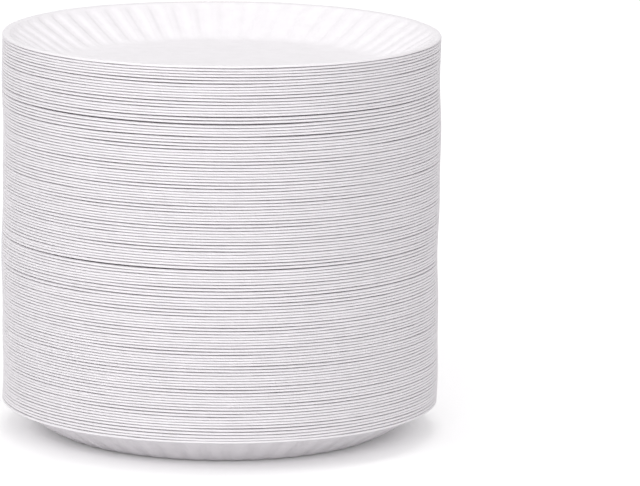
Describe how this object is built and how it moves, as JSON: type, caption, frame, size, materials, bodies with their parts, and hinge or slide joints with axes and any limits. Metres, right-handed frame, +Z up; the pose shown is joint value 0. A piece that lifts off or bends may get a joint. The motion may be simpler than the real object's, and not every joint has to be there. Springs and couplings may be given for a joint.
{
  "type": "stack of paper plates",
  "caption": "Tall stack of round white pressed paperboard plates, nested one in the other, each with a flat well, a hollow bend, a fluted slope and a narrow lip with its edge turned down.",
  "frame": {"origin": "centre of the lowest plate's foot, in the plane on which the stack stands", "axes": "+Z up along the stack's axis; the plates are round, so +X and +Y are free, with -Y towards the viewer"},
  "size_m": [0.1531, 0.1532, 0.1398],
  "materials": {
    "paper": "matte"
  },
  "bodies": {
    "root": {"plate_001": "paper", "plates_002_004": "paper", "plates_005_007": "paper", "plates_008_010": "paper", "plates_011_013": "paper", "plates_014_016": "paper", "plates_017_019": "paper", "plates_020_022": "paper", "plates_023_025": "paper", "plates_026_028": "paper", "plates_029_031": "paper", "plates_032_034": "paper", "plates_035_037": "paper", "plates_038_040": "paper", "plates_041_043": "paper", "plates_044_046": "paper", "plates_047_049": "paper", "plates_050_052": "paper", "plates_053_055": "paper", "plates_056_058": "paper", "plates_059_061": "paper", "plates_062_064": "paper", "plates_065_067": "paper", "plates_068_070": "paper", "plates_071_073": "paper", "plates_074_076": "paper", "plates_077_079": "paper", "plates_080_082": "paper", "plates_083_085": "paper", "plates_086_088": "paper", "plates_089_091": "paper", "plates_092_094": "paper", "plates_095_097": "paper", "plates_098_100": "paper", "plate_101": "paper", "plate_102": "paper", "plate_103": "paper", "plate_104": "paper", "plate_105": "paper", "plate_106": "paper", "plate_107": "paper", "plate_108": "paper", "plate_109": "paper", "plate_110": "paper", "plate_111": "paper", "plate_112": "paper", "plate_113": "paper", "plate_114": "paper", "plate_115": "paper", "plate_116": "paper", "plate_117": "paper", "plate_118": "paper", "plate_119": "paper", "plate_120": "paper", "plate_121": "paper", "plate_122": "paper", "plate_123": "paper", "plate_124": "paper", "plate_125": "paper"}
  },
  "joints": []
}
